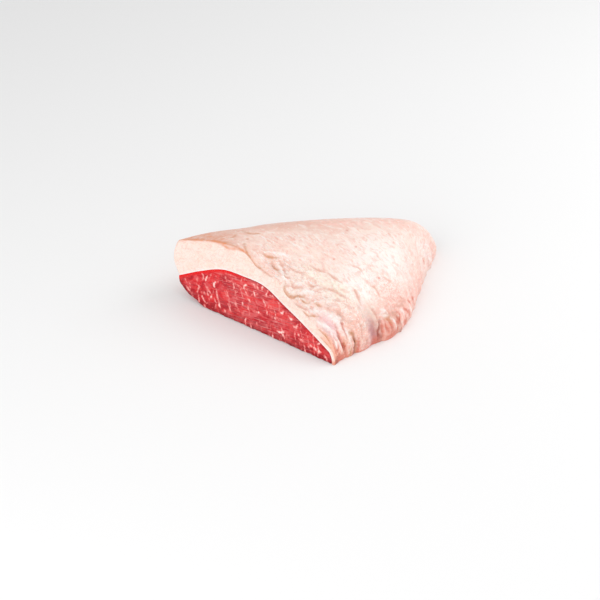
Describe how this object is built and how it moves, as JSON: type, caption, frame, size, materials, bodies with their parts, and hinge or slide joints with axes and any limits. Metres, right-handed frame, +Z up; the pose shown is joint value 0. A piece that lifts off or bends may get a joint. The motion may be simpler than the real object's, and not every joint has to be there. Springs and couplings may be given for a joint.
{
  "type": "raw picanha",
  "caption": "Raw rump cap of beef: a tapered slab of red lean under a creamy layer of fat, cut straight across at the thick end.",
  "frame": {"origin": "on the table under the middle of the piece's bounding box", "axes": "+X from the thick corner of the cut toward the narrow side, +Y from the cut face toward the far end, +Z up"},
  "size_m": [0.2451, 0.1829, 0.0622],
  "materials": {
    "cream_fat": "satin, moist",
    "red_lean": "wet"
  },
  "bodies": {
    "root": {"fat_cap": "cream_fat", "lean": "red_lean"}
  },
  "joints": []
}
